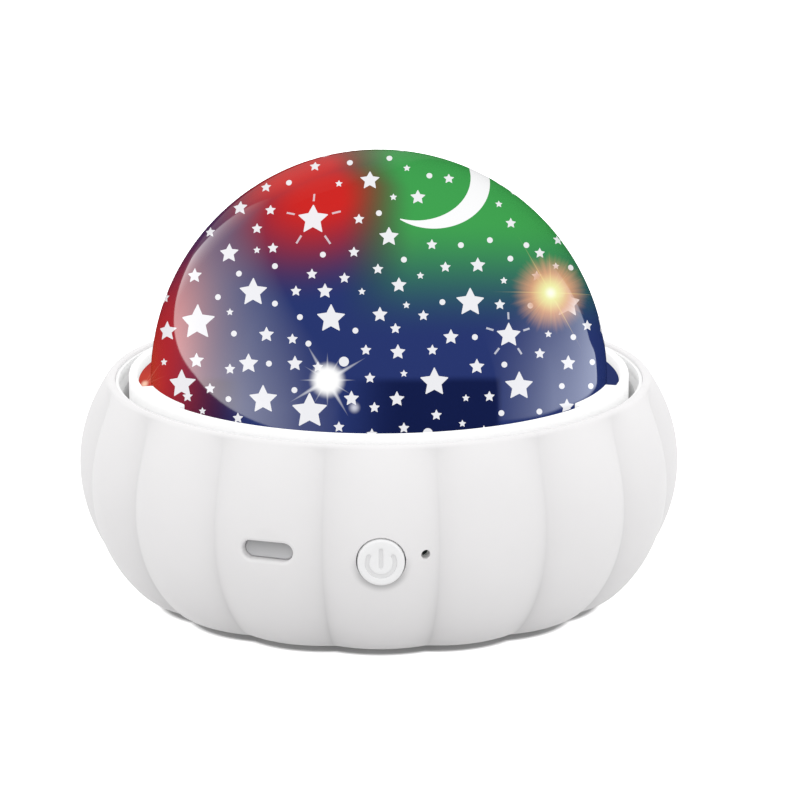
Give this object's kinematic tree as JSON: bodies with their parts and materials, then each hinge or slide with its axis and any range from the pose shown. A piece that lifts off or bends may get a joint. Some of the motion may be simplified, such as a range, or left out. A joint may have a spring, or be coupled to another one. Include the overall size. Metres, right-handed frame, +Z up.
{
  "type": "star night light projector",
  "caption": "Star projector night light: printed dome on a motor-driven turntable, set in a lobed round base with lamps, battery and charging socket.",
  "frame": {"origin": "centre of the resting plane, on the axis of the base, turntable and dome", "axes": "+Z up along the axis of the dome; the power button faces -Y; +X is to the right seen from the front"},
  "size_m": [0.12, 0.1206, 0.0891],
  "materials": {
    "shell_plastic": "satin moulded white ABS, very fine grain",
    "cover_plastic": "satin moulded white ABS",
    "foot_rubber": "soft translucent silicone rubber, matte",
    "screw_steel": "zinc-plated steel with a crossed recess",
    "deck_plastic": "satin moulded white ABS",
    "turntable_plastic": "satin moulded white ABS",
    "gear_plastic": "natural acetal, slightly waxy",
    "washer_plastic": "natural PTFE, waxy",
    "motor_can": "pressed and zinc-plated steel can",
    "shaft_brass": "turned brass",
    "lamp_board": "white solder mask on a round board",
    "led_red_body": "white package with a clear window, red when lit",
    "led_green_body": "white package with a clear window, green when lit",
    "led_blue_body": "white package with a clear window, blue when lit",
    "led_warm_body": "bare chip under yellow phosphor",
    "dome_print": "glossy clear shell printed in deep blue with white stars, dots and a crescent, tinted red and green by the lamps",
    "button_plastic": "satin moulded white ABS, power mark sunk into the face",
    "switch_black": "black moulded nylon",
    "plunger_plastic": "natural nylon",
    "board_green": "green solder mask on glass-epoxy laminate",
    "socket_steel": "drawn nickel-plated steel shell",
    "tongue_black": "black moulded contact carrier",
    "plug_silicone": "soft grey silicone, matte",
    "chip_black": "black epoxy package",
    "inductor_grey": "grey ferrite",
    "capacitor_can": "bare aluminium can",
    "header_ivory": "ivory nylon connector housing",
    "cell_sleeve": "shrink sleeve over a steel cell",
    "cradle_plastic": "satin moulded white ABS",
    "strap_foam": "black adhesive foam strip",
    "lead_red": "PVC insulated twin lead",
    "lead_orange": "PVC insulated ribbon of leads"
  },
  "bodies": {
    "base": {"base_shell": "shell_plastic", "bottom_cover": "cover_plastic", "rubber_feet": "foot_rubber", "cover_screws": "screw_steel", "inner_deck": "deck_plastic", "deck_screws": "screw_steel", "thrust_washer": "washer_plastic", "gear_motor": "motor_can", "motor_screws": "screw_steel", "led_column": "deck_plastic", "column_screws": "screw_steel", "led_board": "lamp_board", "led_board_screws": "screw_steel", "led_red": "led_red_body", "led_green": "led_green_body", "led_blue": "led_blue_body", "led_warm_white": "led_warm_body", "tact_switch": "switch_black", "main_board": "board_green", "board_screws": "screw_steel", "usb_socket": "socket_steel", "usb_tongue": "tongue_black", "indicator_led": "led_warm_body", "control_chip": "chip_black", "board_inductor": "inductor_grey", "board_capacitor": "capacitor_can", "board_headers": "header_ivory", "battery_cell": "cell_sleeve", "battery_cradle": "cradle_plastic", "battery_strap": "strap_foam", "led_lead": "lead_red", "motor_lead": "lead_orange", "battery_lead": "lead_red"},
    "turntable_unit": {"turntable": "turntable_plastic", "turntable_gear": "gear_plastic", "gear_screws": "screw_steel"},
    "pinion_unit": {"motor_shaft": "shaft_brass", "drive_pinion": "gear_plastic"},
    "dome": {"dome_cover": "dome_print"},
    "button": {"power_button": "button_plastic"},
    "plunger": {"switch_plunger": "plunger_plastic"},
    "plug": {"port_plug": "plug_silicone"}
  },
  "joints": [
    {"name": "turntable_spin", "type": "hinge", "parent": "base", "child": "turntable_unit", "pos_m": [0, 0, 0.035], "axis": [0, 0, 1], "continuous": true},
    {"name": "pinion_spin", "type": "hinge", "parent": "base", "child": "pinion_unit", "pos_m": [0, 0.03, 0.034], "axis": [0, 0, 1], "continuous": true},
    {"name": "dome_lift", "type": "slide", "parent": "turntable_unit", "child": "dome", "axis": [0, 0, 1], "range_m": [0, 0.06]},
    {"name": "button_press", "type": "slide", "parent": "base", "child": "button", "axis": [0, 1, 0], "range_m": [0, 0.0005], "stiffness_N_per_m": 800},
    {"name": "plunger_press", "type": "slide", "parent": "base", "child": "plunger", "axis": [0, 1, 0], "range_m": [0, 0.0005]},
    {"name": "plug_pull", "type": "slide", "parent": "base", "child": "plug", "axis": [-0.3681, -0.9298, 0], "range_m": [0, 0.016]}
  ],
  "couplings": [
    {"joint": "pinion_spin", "follows": "turntable_spin", "ratio": -4},
    {"joint": "plunger_press", "follows": "button_press", "ratio": 1}
  ]
}
